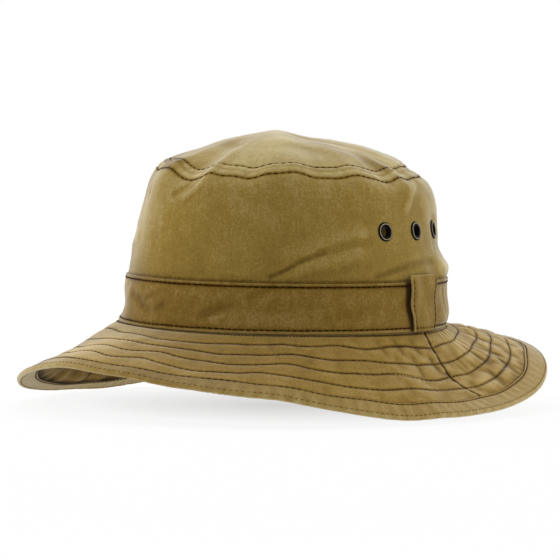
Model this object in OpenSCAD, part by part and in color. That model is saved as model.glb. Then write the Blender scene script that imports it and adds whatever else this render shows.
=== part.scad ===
// Cloth bucket hat: a one-strip crown side with a domed oval tip, a stitched brim of
// two halves in three layers with a bound edge, an outer band with a tab, and six vents.
// The hat stands on the two low sides of its brim. +Z is up, the front faces -Y and
// the wearer's left is +X. Angles go round the hat from the front (0) by the wearer's
// left (90) to the back (180).

/* [Crown] */
// Half width of the crown at the brim, side to side, outside the cloth
crown_half_w = 90; // [80:1:100]
// Half length of the crown at the brim, front to back, outside the cloth
crown_half_l = 98; // [86:1:110]
// Height of the crown side from the brim up to the tip seam
side_h = 89.5; // [75:0.5:110]
// Height of the crown's foot, behind the band
foot_h = 24; // [15:1:30]
// How much the foot leans in, in degrees
foot_lean = 4; // [0:0.5:8]
// How much the crown side leans in above its foot, in degrees
side_lean = 9.6; // [4:0.2:16]
// How far the crown sags to one side above its foot
crown_sag = 2.6; // [0:0.2:6]
// Angle round the hat towards which the crown sags
sag_angle = 117; // [0:1:359]
// Height of the rounded shoulder below the tip seam
shoulder_h = 17.5; // [10:0.5:25]
// How far the shoulder rounds in beyond the lean
shoulder_in = 9; // [4:0.5:14]
// Rise of the domed tip above its seam
tip_rise = 20; // [8:0.5:30]

/* [Brim] */
// Width of the brim along the cloth, crown to edge
brim_w = 66; // [50:1:80]
// Downward angle of the brim at the crown, every 30 degrees round from the front
brim_angle_in = [22, 30, 46, 57, 17, 6, 18, 26, 40, 34, 36, 15]; // [4:1:60]
// Downward angle of the brim at its edge, every 30 degrees round from the front
brim_angle_out = [19, 28, 38, 18, 28, 14, 16, 28, 44, 49, 31, 23]; // [4:1:60]
// Width of the binding on each face of the brim
binding_w = 12.5; // [8:0.5:16]
// Number of quilting rows between the crown and the binding
row_count = 4; // [2:1:5]
// Depth of the flat worn on the binding where the hat stands
stand_flat = 0.5; // [0.1:0.1:0.6]

/* [Cloth] */
// Thickness of the crown and brim canvas
cloth = 0.8; // [0.6:0.1:1.2]
// Thickness of the stiffener between the brim's two faces
stiffener_t = 0.8; // [0.5:0.1:1.5]
// Thickness of the binding tape
binding_t = 0.7; // [0.5:0.1:1]
// Room left between two layers that are sewn together
layer_gap = 0.1; // [0.05:0.05:0.2]
// Width of the crown cloth that is turned down behind the brim's inner edge
seam_allowance = 4; // [3:0.5:8]
// Opening left at a butted seam
seam_slit = 0.2; // [0.1:0.05:0.4]

/* [Band and tab] */
// Height of the outer band
band_h = 27.5; // [20:0.5:34]
// Thickness of the folded outer band
band_t = 1; // [0.8:0.1:1.6]
// Width of the folded tab that covers the band's joint
tab_w = 28; // [16:1:36]
// How far the tab stands up above the band
tab_above = 4.5; // [1:0.5:8]
// Thickness of the folded tab
tab_t = 1.6; // [1:0.1:2.4]
// How far the tab sits forward of the brim's side seam, in degrees
tab_forward = 1.5; // [0:0.5:8]

/* [Inside] */
// Height of the sweatband above the brim
sweat_h = 31; // [26:1:38]
// Thickness of the sweatband
sweat_t = 1; // [0.8:0.1:1.6]
// Width of the tapes over the inside seams
tape_w = 14; // [10:1:20]
// Thickness of the seam tapes
tape_t = 0.5; // [0.4:0.1:0.8]

/* [Vents] */
// Height of the vent eyelets above the brim
vent_h = 55.5; // [46:0.5:62]
// Angle round the hat between neighbouring vents
vent_pitch = 18; // [12:1:24]
// How far the vents sit forward of the brim's side seams, in degrees
vent_forward = 2.5; // [0:0.5:8]
// Outer diameter of an eyelet's flange
eyelet_d = 10.8; // [9:0.2:13]
// Diameter of the hole through an eyelet
eyelet_hole_d = 5.6; // [4:0.2:6]
// Wall of the eyelet's barrel
barrel_t = 0.5; // [0.4:0.1:0.7]
// Height of the rounded flange above the cloth
flange_h = 1.3; // [0.8:0.1:2]
// Thickness of the washer inside the crown
washer_t = 0.5; // [0.4:0.1:0.8]
// Reach of the barrel's rolled end past the washer's hole
roll_w = 1; // [0.6:0.1:1.4]
// Thickness of the barrel's rolled end
roll_t = 0.6; // [0.4:0.1:1]
// Room behind a washer for the curve of the cloth
curve_room = 0.35; // [0.3:0.05:0.6]
// Clearance between an eyelet's barrel and the hole it passes through
barrel_gap = 0.15; // [0.1:0.05:0.3]
// Clearance between a washer and the rolled end that holds it
washer_gap = 0.05; // [0.02:0.01:0.1]

/* [Hidden] */

// Angular step of the cloth skins, and the steps of each curved stretch
step = 6;
full_circle = [for (a = [0:step:360 - step]) a];
lean_steps = 3;
shoulder_steps = 4;
tip_steps = 7;
fold_steps = 8;
tab_steps = 3;
// Turn of the tab's fold on each face, which leaves a narrow flat on top
fold_turn = 80;
// Power of the shoulder's rounding
shoulder_power = 2.5;
// Angles of the side seams, the back seam and the tab
left = 90;
back = 180;
right = 270;
tab_angle = left - tab_forward;
front_half_from = right - 360;
SIDES = ["left", "right"];
PLACES = ["front", "middle", "rear"];
canvas_colour = [0.56, 0.47, 0.27];
band_colour = [0.50, 0.40, 0.22];
lining_colour = [0.62, 0.55, 0.38];
eyelet_colour = [0.09, 0.08, 0.07];

// Depths of the layers below the brim's upper face
stiffener_h = -cloth - layer_gap;
under_h = stiffener_h - stiffener_t - layer_gap;
stack_t = cloth - under_h;
// Outer radius of the folded edge, and where the layers end inside the fold
fold_r = stack_t / 2 + layer_gap + binding_t;
fold_s = brim_w - fold_r;
binding_s = brim_w - binding_w;
row_pitch = binding_s / (row_count + 1);
brim_rings = concat([for (i = [0:row_count + 1]) i * row_pitch], [fold_s]);

shoulder_z = side_h - shoulder_h;
lining_h = -cloth - layer_gap;

function total(v, i = 0) = i < len(v) ? v[i] + total(v, i + 1) : 0;

// Smooth closed curve through evenly spaced stations: each station's share is a cosine sum
// that is 1 at its own angle and 0 at the others
function share(d, n) = (1 + 2 * total([for (k = [1:n / 2 - 1]) cos(k * d)]) + cos(n / 2 * d)) / n;
function around(list, a) =
    let (n = len(list)) total([for (i = [0:n - 1]) list[i] * share(a - i * 360 / n, n)]);

// Oval at the brim: a point of it, drawn in by an inset, and its outward direction
function oval(a, inset = 0) =
    [(crown_half_w - inset) * sin(a), -(crown_half_l - inset) * cos(a), 0];
function outward(a) =
    let (v = [sin(a) / crown_half_w, -cos(a) / crown_half_l, 0]) v / norm(v);
// Degrees round the hat that a length along the oval takes at an angle
function degrees_for(length, a) =
    length / norm([crown_half_w * cos(a), crown_half_l * sin(a)]) * 180 / PI;

// Crown side: inset and its slope at a height, as two straight leans and a rounded shoulder
function shoulder_u(z) = max(0, (z - shoulder_z) / shoulder_h);
function foot_rise(z) = max(0, min(z, foot_h));
function side_inset(z) = tan(foot_lean) * foot_rise(z) + tan(side_lean) * max(0, z - foot_h)
    + shoulder_in * pow(shoulder_u(z), shoulder_power);
function side_slope(z) = tan(z > foot_h ? side_lean : z > 0 ? foot_lean : 0)
    + shoulder_in * shoulder_power / shoulder_h * pow(shoulder_u(z), shoulder_power - 1);
// Sideways shift of the crown, which grows up its foot
sag_way = [sin(sag_angle), -cos(sag_angle), 0];
function sag_shift(z) = crown_sag * foot_rise(z) / foot_h * sag_way;
function sag_slope(a, z) = z > 0 && z <= foot_h ? crown_sag / foot_h * (sag_way * outward(a)) : 0;
function side_normal(a, z) =
    let (b = atan(side_slope(z) - sag_slope(a, z))) cos(b) * outward(a) + [0, 0, sin(b)];
// Point of the crown side at an angle and height, a depth h off its outer face
function side_point(a, z, h) =
    oval(a, side_inset(z)) + sag_shift(z) + [0, 0, z] + h * side_normal(a, z);

// Crown tip: a shallow dome over the oval of the seam, rho from 0 in the middle to 1
tip_inset = side_inset(side_h);
tip_half = (crown_half_w + crown_half_l) / 2 - tip_inset;
function tip_point(a, rho, h) =
    let (fall = 2 * tip_rise * rho / tip_half, n = [0, 0, 1] + fall * outward(a))
    rho * oval(a, tip_inset) + sag_shift(side_h) + [0, 0, side_h + tip_rise * (1 - rho * rho)]
    + h * n / norm(n);

// Brim: each radial line is an arc that turns from the slope at the crown to the slope at
// the edge. Depth h is square to the cloth, but upright at the crown, where the layers butt.
function brim_line(a) = [around(brim_angle_in, a), around(brim_angle_out, a)];
function brim_point(a, line, s, h) =
    let (turn = (line[1] - line[0]) * s / brim_w,
         middle = line[0] + turn / 2,
         slope = line[0] + turn,
         half = turn / 2,
         chord = abs(half) < 0.01 ? s : s * sin(half) / (half * PI / 180),
         w = min(1, s / row_pitch),
         out = layer_gap + chord * cos(middle) + h * w * sin(slope),
         up = -chord * sin(middle) + h * (w * cos(slope) + (1 - w) / cos(slope)))
    oval(a) + out * outward(a) + [0, 0, up];

// Binding's section as [s, h]: a folded strip, outer face first and then the inner face
function fold_arc(r) = [for (i = [0:fold_steps])
    let (t = 90 - 180 * i / fold_steps) [fold_s + r * cos(t), r * sin(t) - stack_t / 2]];
function reversed(v) = [for (i = [len(v) - 1:-1:0]) v[i]];
binding_outer = concat([[binding_s, fold_r - stack_t / 2]], fold_arc(fold_r),
                       [[binding_s, -fold_r - stack_t / 2]]);
channel_r = fold_r - binding_t;
binding_inner = concat([[binding_s, channel_r - stack_t / 2]], fold_arc(channel_r),
                       [[binding_s, -channel_r - stack_t / 2]]);
binding_section = concat(binding_outer, reversed(binding_inner));

// Where the hat stands: its lowest binding point, and the middle of its plan
rim_points = [for (a = full_circle) let (line = brim_line(a))
    each [for (p = binding_outer) brim_point(a, line, p[0], p[1])]];
floor_z = min([for (p = rim_points) p[2]]) + stand_flat;
middle_x = (max([for (p = rim_points) p[0]]) + min([for (p = rim_points) p[0]])) / 2;
middle_y = (max([for (p = rim_points) p[1]]) + min([for (p = rim_points) p[1]])) / 2;

// Puts a piece that is drawn about the crown's axis, from the brim up, into the hat's frame
module placed() { translate([-middle_x, -middle_y, -floor_z]) children(); }

function quad(a, b, c, d) = [[a, b, c], [a, c, d]];

// Solid between two skins, given as columns of points round the hat; a ring closes on itself
module layer(outer, inner, ring = false) {
    n = len(outer);
    m = len(outer[0]);
    last = ring ? n - 1 : n - 2;
    o = n * m;
    points = [for (c = outer) each c, for (c = inner) each c];
    faces = [
        for (i = [0:last], j = [0:m - 2]) let (a = i * m + j, b = (i + 1) % n * m + j)
            each concat(quad(a, a + 1, b + 1, b), quad(o + a, o + b, o + b + 1, o + a + 1)),
        for (i = [0:last]) let (a = i * m, b = (i + 1) % n * m, t = m - 1)
            each concat(quad(a, b, o + b, o + a), quad(a + t, o + a + t, o + b + t, b + t)),
        if (!ring) for (j = [0:m - 2]) let (e = (n - 1) * m + j)
            each concat(quad(j, o + j, o + j + 1, j + 1), quad(e, e + 1, o + e + 1, o + e))];
    polyhedron(points, faces);
}

// Angles from one end of a strip to the other, in steps no longer than the skins' own
function strip_angles(from, to) =
    let (first = floor(from / step) + 1, end = ceil(to / step) - 1)
    concat([from], [for (i = [first:end]) i * step], [to]);

// Strip of the crown side between two depths, through a list of heights
module side_strip(angles, heights, h_out, h_in) {
    layer([for (a = angles) [for (z = heights) side_point(a, z, h_out)]],
          [for (a = angles) [for (z = heights) side_point(a, z, h_in)]]);
}

// Angles of a strip that goes all the way round and butts at one angle
function round_angles(a) =
    let (half = degrees_for(seam_slit / 2, a)) strip_angles(a + half, a + 360 - half);

// Heights at which the crown side bends, and those of a strip between two heights
bend_heights = concat([0], [for (i = [0:lean_steps]) foot_h + i * (shoulder_z - foot_h) / lean_steps],
    [for (i = [1:shoulder_steps]) shoulder_z + i * shoulder_h / shoulder_steps]);
function heights(low, high) = concat([low], [for (z = bend_heights) if (z > low && z < high) z], [high]);

// Angle round the hat of a vent
function vent_angle(side, place) =
    (side == "left" ? left : right) + (side == "left" ? 1 : -1)
    * ((place == "front" ? -vent_pitch : place == "rear" ? vent_pitch : 0) - vent_forward);

// Stands a piece on the crown side at a vent, with +Z out of the cloth
module at_vent(side, place) {
    a = vent_angle(side, place);
    n = side_normal(a, vent_h);
    translate(side_point(a, vent_h, 0)) rotate([0, acos(n[2]), atan2(n[1], n[0])]) children();
}

barrel_r = eyelet_hole_d / 2 + barrel_t;
vent_hole_r = barrel_r + barrel_gap;
vent_cut_h = 4 * (cloth + curve_room);
washer_z = -cloth - curve_room;
roll_z = washer_z - washer_t - washer_gap;

module crown_side() {
    color(canvas_colour) placed() difference() {
        side_strip(round_angles(back), heights(-seam_allowance, side_h - seam_slit / 2), 0, -cloth);
        for (side = SIDES, place = PLACES) at_vent(side, place)
            cylinder(h = vent_cut_h, r = vent_hole_r, center = true, $fn = 48);
    }
}

module crown_tip() {
    edge = 1 - seam_slit / 2 / tip_half;
    rho = [for (i = [0:tip_steps - 1]) edge * (1 - i / tip_steps)];
    n = len(full_circle);
    m = len(rho);
    o = n * m;
    points = [for (h = [0, -cloth], a = full_circle, r = rho) tip_point(a, r, h)];
    poles = [tip_point(0, 0, 0), tip_point(0, 0, -cloth)];
    faces = [for (i = [0:n - 1]) let (a = i * m, b = (i + 1) % n * m, t = m - 1)
        each concat([for (j = [0:m - 2]) each concat(
                quad(a + j, a + j + 1, b + j + 1, b + j),
                quad(o + a + j, o + b + j, o + b + j + 1, o + a + j + 1))],
            quad(a, b, o + b, o + a),
            [[a + t, 2 * o, b + t], [o + a + t, o + b + t, 2 * o + 1]])];
    color(canvas_colour) placed() polyhedron(concat(points, poles), faces);
}

// Tape inside the tip seam, half on the crown side and half on the tip
module tip_seam_tape() {
    half = tape_w / 2;
    function column(a, h) = [side_point(a, side_h - half, h), side_point(a, side_h, h),
                             tip_point(a, 1 - half / tip_half, h)];
    color(lining_colour) placed()
        layer([for (a = full_circle) column(a, lining_h)],
              [for (a = full_circle) column(a, lining_h - tape_t)], ring = true);
}

// Tape inside the back seam, from the sweatband up to the tip seam's tape
module back_seam_tape() {
    half = degrees_for(tape_w / 2, back);
    top = side_h - tape_w / 2 - 2 * tape_t;
    color(lining_colour) placed()
        side_strip(strip_angles(back - half, back + half), heights(sweat_h + layer_gap, top),
                   lining_h, lining_h - tape_t);
}

module sweatband() {
    color(lining_colour) placed()
        side_strip(round_angles(back), heights(-seam_allowance, sweat_h), lining_h, lining_h - sweat_t);
}

band_out = layer_gap + band_t;

// Outer band, whose ends butt behind the tab
module hat_band() {
    color(band_colour) placed()
        side_strip(round_angles(tab_angle), heights(layer_gap, band_h), band_out, layer_gap);
}

// Folded tab over the band's joint, from the brim to above the band, round at its fold
module band_tab() {
    half = degrees_for(tab_w / 2, tab_angle);
    r = tab_t / 2;
    middle = band_out + layer_gap + r;
    fold_z = band_h + tab_above - r;
    rows = heights(layer_gap, fold_z);
    // Height and half thickness up the tab, rounded over at its fold
    profile = concat([for (z = rows) [z, r]], [for (i = [1:tab_steps])
        let (t = fold_turn * i / tab_steps) [fold_z + r * sin(t), r * cos(t)]]);
    angles = strip_angles(tab_angle - half, tab_angle + half);
    function skin(way) = [for (a = angles) [for (p = profile) side_point(a, p[0], middle + way * p[1])]];
    color(band_colour) placed() layer(skin(1), skin(-1));
}

// One half of a brim layer between two depths, seamed at both sides
module brim_half(from, h_out, h_in, colour) {
    slit = degrees_for(seam_slit / 2, left);
    angles = strip_angles(from + slit, from + 180 - slit);
    function skin(h) = [for (a = angles) let (line = brim_line(a))
        [for (s = reversed(brim_rings)) brim_point(a, line, s, h)]];
    color(colour) placed() layer(skin(h_out), skin(h_in));
}

module brim_top(from) { brim_half(from, 0, -cloth, canvas_colour); }
module brim_stiffener(from) { brim_half(from, stiffener_h, stiffener_h - stiffener_t, lining_colour); }
module brim_under(from) { brim_half(from, under_h, under_h - cloth, canvas_colour); }

// Folded tape round the brim's edge, flat where the hat stands
module brim_binding() {
    m = len(binding_section);
    n = len(full_circle);
    points = [for (a = full_circle) let (line = brim_line(a)) each [for (p = binding_section)
        let (q = brim_point(a, line, p[0], p[1])) [q[0], q[1], max(q[2], floor_z)]]];
    faces = [for (i = [0:n - 1], j = [0:m - 1])
        let (a = i * m, b = (i + 1) % n * m, k = (j + 1) % m) each quad(a + j, b + j, b + k, a + k)];
    color(canvas_colour) placed() polyhedron(points, faces);
}

// Eyelet in section: a rounded flange outside, the barrel, and its end rolled over the washer
module eyelet(side, place) {
    bore_r = eyelet_hole_d / 2;
    flange_r = eyelet_d / 2;
    crest_r = (flange_r + bore_r) / 2;
    crest_w = flange_r - crest_r;
    crown_arc = [for (t = [0:15:180]) [crest_r + crest_w * cos(t), layer_gap + flange_h * sin(t)]];
    roll_r = barrel_r + roll_w;
    color(eyelet_colour) placed() at_vent(side, place) rotate_extrude($fn = 48)
        polygon(concat(crown_arc, [[bore_r, roll_z - roll_t], [roll_r, roll_z - roll_t], [roll_r, roll_z],
                                   [barrel_r, roll_z], [barrel_r, layer_gap]]));
}

module washer(side, place) {
    color(eyelet_colour) placed() at_vent(side, place) translate([0, 0, washer_z - washer_t])
        rotate_extrude($fn = 48) translate([vent_hole_r, 0]) square([eyelet_d / 2 - vent_hole_r, washer_t]);
}

crown_tip();
crown_side();
tip_seam_tape();
back_seam_tape();
sweatband();
hat_band();
band_tab();
brim_top(front_half_from);  // brim_top_front
brim_top(left);  // brim_top_rear
brim_under(front_half_from);  // brim_under_front
brim_under(left);  // brim_under_rear
brim_stiffener(front_half_from);  // brim_stiffener_front
brim_stiffener(left);  // brim_stiffener_rear
brim_binding();
for (side = SIDES, place = PLACES) {
    eyelet(side, place);
    washer(side, place);
}
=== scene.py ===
import bpy
import numpy as np
from mathutils import Matrix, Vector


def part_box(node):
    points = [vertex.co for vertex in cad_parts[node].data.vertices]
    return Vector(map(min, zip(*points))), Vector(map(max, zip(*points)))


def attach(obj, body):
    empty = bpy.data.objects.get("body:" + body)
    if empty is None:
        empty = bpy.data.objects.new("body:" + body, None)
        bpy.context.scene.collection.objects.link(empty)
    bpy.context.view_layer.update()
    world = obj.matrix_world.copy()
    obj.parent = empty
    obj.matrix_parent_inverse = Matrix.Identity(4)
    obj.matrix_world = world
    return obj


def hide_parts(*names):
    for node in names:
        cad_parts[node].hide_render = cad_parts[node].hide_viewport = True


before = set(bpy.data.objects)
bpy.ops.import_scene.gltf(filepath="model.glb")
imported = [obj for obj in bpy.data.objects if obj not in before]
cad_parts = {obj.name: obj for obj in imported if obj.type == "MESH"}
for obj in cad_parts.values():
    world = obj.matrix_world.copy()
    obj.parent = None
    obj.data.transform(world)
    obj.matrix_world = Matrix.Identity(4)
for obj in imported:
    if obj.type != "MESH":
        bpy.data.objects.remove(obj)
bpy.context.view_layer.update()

# Sizes are in millimetres and angles in degrees, and go into the meshes in metres.
# Angles round the hat start at the front (0) and go by the wearer's left (90) to the back.
MM = 0.001

# Crown
HALF_W, HALF_L = 90.0, 98.0
FOOT_H, FOOT_LEAN, SIDE_LEAN = 24.0, 4.0, 9.6
SAG, SAG_ANGLE = 2.6, 117.0
SIDE_H, SHOULDER_H, SHOULDER_IN, SHOULDER_POWER = 89.5, 17.5, 9.0, 2.5
SHOULDER_Z = SIDE_H - SHOULDER_H
TIP_RISE = 20.0
SEAM_ALLOWANCE, TOPSTITCH, TOPSTITCH_W = 4.0, 3.5, 0.7
KINK, STEP = 2.0, 0.5
BACK = 180.0

# Cloth layers
CLOTH, LAYER_GAP = 0.8, 0.1
LINING_H = -CLOTH - LAYER_GAP
SWEAT_H, SWEAT_T, TAPE_W, TAPE_T = 31.0, 1.0, 14.0, 0.5
BAND_H, BAND_T, BAND_ROW, EDGE_ROUND = 27.5, 1.0, 2.0, 0.6
TAB_ANGLE, TAB_W, TAB_ABOVE, TAB_T = 88.5, 28.0, 4.5, 1.6
TAB_ROW, TAB_ROUND, TAB_DROP = 1.7, 0.8, 1.0
TAB_TOP = BAND_H + TAB_ABOVE - TAB_DROP
TAB_MIDDLE = 2 * LAYER_GAP + BAND_T + TAB_T / 2

# Brim, its layers pressed thinner by the sewing than their solids
BRIM_W, BINDING_W, ROW_COUNT = 66.0, 12.5, 4
BRIM_CLOTH, STIFFENER_T, BINDING_T, BRIM_SINK = 0.6, 0.5, 0.5, 0.2
BINDING_S = BRIM_W - BINDING_W
ROW_PITCH = BINDING_S / (ROW_COUNT + 1)
ANGLE_IN = (22, 30, 46, 57, 17, 6, 18, 26, 40, 34, 36, 15)
ANGLE_OUT = (19, 28, 38, 18, 28, 14, 16, 28, 44, 49, 31, 23)
STACK_T = 2 * BRIM_CLOTH + STIFFENER_T + 2 * LAYER_GAP
FOLD_R = STACK_T / 2 + LAYER_GAP + BINDING_T
FOLD_S = BRIM_W - FOLD_R
BINDING_ROW, RIM_ROW = BINDING_S + 1.1, FOLD_S - 0.3

# Vents
VENT_H, VENT_PITCH, LEFT_VENT, RIGHT_VENT = 55.5, 18.0, 87.5, 272.5
EYELET_R, BORE_R, BARREL_T, FLANGE_H, HOLE_R = 5.4, 2.8, 0.5, 0.8, 4.0
WASHER_T, ROLL_W, ROLL_T, CURVE_ROOM, WASHER_GAP = 0.5, 1.0, 0.6, 0.35, 0.05
# Each vent's angle, name and how deep it lies: the crown is pressed in a little on the right
VENTS = [(angle + way * VENT_PITCH, f"{name}_{place}", sink)
         for name, angle, front, sink in (("left", LEFT_VENT, -1, 0.0), ("right", RIGHT_VENT, 1, 0.5))
         for way, place in ((front, "front"), (0, "middle"), (-front, "rear"))]

# Radii at which angles become lengths, points round the hat, and openings left at slits and seams
SIDE_REACH, BRIM_REACH = 87.0, 125.0
ROUND, ROUND_ROW = 481, 2401
SLIT, SEAM_OPEN, INLAY_GAP = 0.02, 0.03, 1.5

# The crown's axis at the brim join, from the lowest corner of the crown side
JOIN = np.array(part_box("crown_side")[0]) / MM + (HALF_W, HALF_L, SEAM_ALLOWANCE)

# Camera, as fitted to the photograph
CAM_AZIMUTH, CAM_ELEVATION, CAM_ROLL = 27.5, 2.97, 0.96
CAM_DISTANCE, CAM_LENS, SENSOR, CAM_FAR = 2300.0, 260.4, 36.0, 20.0
CAM_RISE, CAM_SIDE = 24.7, -0.73


def sin(d):
    return np.sin(np.radians(d))


def cos(d):
    return np.cos(np.radians(d))


def tan(d):
    return np.tan(np.radians(d))


def smooth(x):
    """S-shaped step from 0 to 1 as x goes from 0 to 1."""
    x = np.clip(x, 0, 1)
    return x * x * (3 - 2 * x)


def hump(x):
    """Bell curve, 1 in the middle."""
    return np.exp(-x * x)


def above(x):
    """x where it is positive and 0 elsewhere, rounded over the width of the kink."""
    return 0.5 * (x + np.sqrt(x * x + KINK * KINK))


def unit(v):
    """Directions of length 1."""
    return v / np.linalg.norm(v, axis=-1, keepdims=True)


def spread(*values):
    """Values as arrays of one shape."""
    return np.broadcast_arrays(*(np.asarray(v, float) for v in values))


def turned(a, b):
    """Angle from b to a, between -180 and 180."""
    return (np.asarray(a) - b + 180) % 360 - 180


def arc(a, b, reach):
    """Length round the hat from angle b to a, at a radius."""
    return np.radians(turned(a, b)) * reach


def around(stations, a):
    """Smooth closed curve through evenly spaced stations: each station's share is a sum of
    cosines that is 1 at its own angle and 0 at the others."""
    n = len(stations)
    total = 0
    for i, value in enumerate(stations):
        d = np.asarray(a) - 360 * i / n
        share = 1 + cos(n / 2 * d)
        for k in range(1, n // 2):
            share = share + 2 * cos(k * d)
        total = total + value * share / n
    return total


def ripples(a, v, seed, low, high, drift, count=12):
    """Sum of cosines with between low and high waves round the hat, each turned a little along
    v by its own drift. Its mean square is 1."""
    draw = np.random.default_rng(seed)
    total = 0
    for _ in range(count):
        waves = draw.integers(low, high + 1)
        slant, phase = draw.normal(0, drift), draw.uniform(0, 2 * np.pi)
        total = total + np.cos(waves * np.radians(a) + slant * v + phase)
    return total / np.sqrt(count / 2)


def tucks(a, v, seed, low, high, drift):
    """Rounded ridges with narrow valleys between them, as gathered cloth has."""
    return np.sqrt(ripples(a, v, seed, low, high, drift) ** 2 + 0.06) - 0.85


def near_path(x, y, path):
    """Distance to a path of straight lines."""
    near = np.inf
    for (x0, y0), (x1, y1) in zip(path[:-1], path[1:]):
        dx, dy = x1 - x0, y1 - y0
        t = np.clip(((x - x0) * dx + (y - y0) * dy) / (dx * dx + dy * dy), 0, 1)
        near = np.minimum(near, np.hypot(x - x0 - t * dx, y - y0 - t * dy))
    return near


def folds(table, x, y):
    """Sum of folds as (path, half width, height): a bell across each path, with soft ends."""
    return sum(height * hump(near_path(x, y, path) / width) for path, width, height in table)


def side_folds(table, a, z):
    """Sum of folds of the crown side, whose paths are angles and heights."""
    total = 0
    for path, width, height in table:
        start = path[0][0]
        line = [(np.radians(angle - start) * SIDE_REACH, level) for angle, level in path]
        total = total + folds([(line, width, height)], arc(a, start, SIDE_REACH), z)
    return total


def bells(table, a):
    """Sum of bells round the hat as (angle, half width in degrees, height)."""
    return sum(height * hump(turned(a, angle) / width) for angle, width, height in table)


def spots(table, a, v):
    """Sum of soft spots as (angle, half width in degrees, place, half length, height): a bell round
    the hat times a bell across the cloth."""
    return sum(height * hump(turned(a, angle) / width) * hump((v - place) / length)
               for angle, width, place, length, height in table)


# Shape of the hat, in millimetres about the crown's axis from the brim join up

SAG_WAY = np.array([sin(SAG_ANGLE), -cos(SAG_ANGLE), 0])
UP = np.array([0.0, 0.0, 1.0])
# Rise and fall of the tip seam, every 15 degrees round the hat
SEAM_WAVE = (-0.6, -1.9, 1.6, -1.6, -2.7, -3.2, -2.6, -1.9, -1.7, -1.8, -1.0, 0.0,
             0.6, -0.3, 0.9, 0.2, 1.2, 1.0, 1.8, 1.4, 1.9, 1.7, 0.8, -2.8)
# Sharper rises of the seam as (angle, half width in degrees, height)
SEAM_HUMPS = ((-18, 5, -1.4), (-32, 6, 1.0), (-5, 4, 1.8), (20, 6, 1.3), (29, 6, 0.5), (60, 11, 3.2),
              (75, 4, -0.8), (86, 5, 1.6))
WAVE_FROM = 60.0
# Where the brim join strays up and outwards, as (angle, half width in degrees, length), and how
# far up and out the cloth goes with it
JOIN_RISE = ((-48, 34, 1.2),)
JOIN_OUT = ((-62, 24, -1.0), (117, 20, 0.8))
STRAY_UP, STRAY_OUT = 45.0, 14.0


def oval(a, inset):
    """Oval of the crown, drawn in by an inset."""
    return np.stack([(HALF_W - inset) * sin(a), -(HALF_L - inset) * cos(a), 0 * a * inset], -1)


def outward(a):
    """Level direction square to the crown's oval."""
    return unit(np.stack([sin(a) / HALF_W, -cos(a) / HALF_L, 0 * a], -1))


def seam_wave(a):
    """Height of the tip seam over its even height, round the hat."""
    return around(SEAM_WAVE, a) + 0.25 * ripples(a, 0, 15, 12, 28, 0) + bells(SEAM_HUMPS, a)


def foot_part(z):
    """Height gone through within the foot of the crown."""
    return above(z) - above(z - FOOT_H)


def side_inset(z):
    """Two straight leans and a rounded shoulder."""
    shoulder = np.clip((z - SHOULDER_Z) / SHOULDER_H, 0, None) ** SHOULDER_POWER
    return tan(FOOT_LEAN) * foot_part(z) + tan(SIDE_LEAN) * above(z - FOOT_H) + SHOULDER_IN * shoulder


def slope(curve, z):
    """Slope of a curve, over one step to each side."""
    return (curve(z + STEP) - curve(z - STEP)) / (2 * STEP)


def side(a, z, h):
    """Crown side at an angle and height, h off its outer face: the oval at the inset for that
    height, sagged to one side, with the tip seam's wave in its upper part."""
    a, z, h = spread(a, z, h)
    out = outward(a)
    tilt = np.arctan(slope(side_inset, z) - SAG / FOOT_H * slope(foot_part, z) * (out @ SAG_WAY))
    p = oval(a, side_inset(z)) + (SAG * foot_part(z) / FOOT_H)[..., None] * SAG_WAY
    stray = 1 - smooth(z / STRAY_UP)
    p = p + (h * np.cos(tilt) + bells(JOIN_OUT, a) * stray)[..., None] * out
    lift = seam_wave(a) * smooth((z - WAVE_FROM) / (SIDE_H - WAVE_FROM)) + bells(JOIN_RISE, a) * stray
    return p + (z + h * np.sin(tilt) + lift)[..., None] * UP


TIP_INSET = side_inset(SIDE_H)
TIP_HALF = (HALF_W + HALF_L) / 2 - TIP_INSET


def tip(a, rho, h):
    """Crown tip: a dome over the seam's oval that falls with the square of rho, with the seam's
    wave fading towards the middle."""
    a, rho, h = spread(a, rho, h)
    normal = unit(UP + (2 * TIP_RISE * rho / TIP_HALF)[..., None] * outward(a))
    z = SIDE_H + TIP_RISE * (1 - rho ** 2) + seam_wave(a) * rho ** 4
    return rho[..., None] * oval(a, TIP_INSET) + SAG * SAG_WAY + z[..., None] * UP + h[..., None] * normal


def brim(a, s, h):
    """Brim at an angle and a length s out from the join, h off its upper face: an arc that turns
    from the slope at the crown to the slope at the edge. Depth is upright at the join."""
    a, s, h = spread(a, s, h)
    first, last = around(ANGLE_IN, a), around(ANGLE_OUT, a)
    turn = (last - first) * s / BRIM_W
    chord = s * np.sinc(np.radians(turn / 2) / np.pi)
    free = np.clip(s / ROW_PITCH, 0, 1)
    fall = first + turn
    stray = 1 - smooth(s / STRAY_OUT)
    out = LAYER_GAP + chord * cos(first + turn / 2) + h * free * sin(fall) + bells(JOIN_OUT, a) * stray
    up = -chord * sin(first + turn / 2) + h * (free * cos(fall) + (1 - free) / cos(fall))
    up = up + bells(JOIN_RISE, a) * stray
    return oval(a, 0 * a) + out[..., None] * outward(a) + up[..., None] * UP


# How the cloth lies: displacements off those shapes

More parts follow.
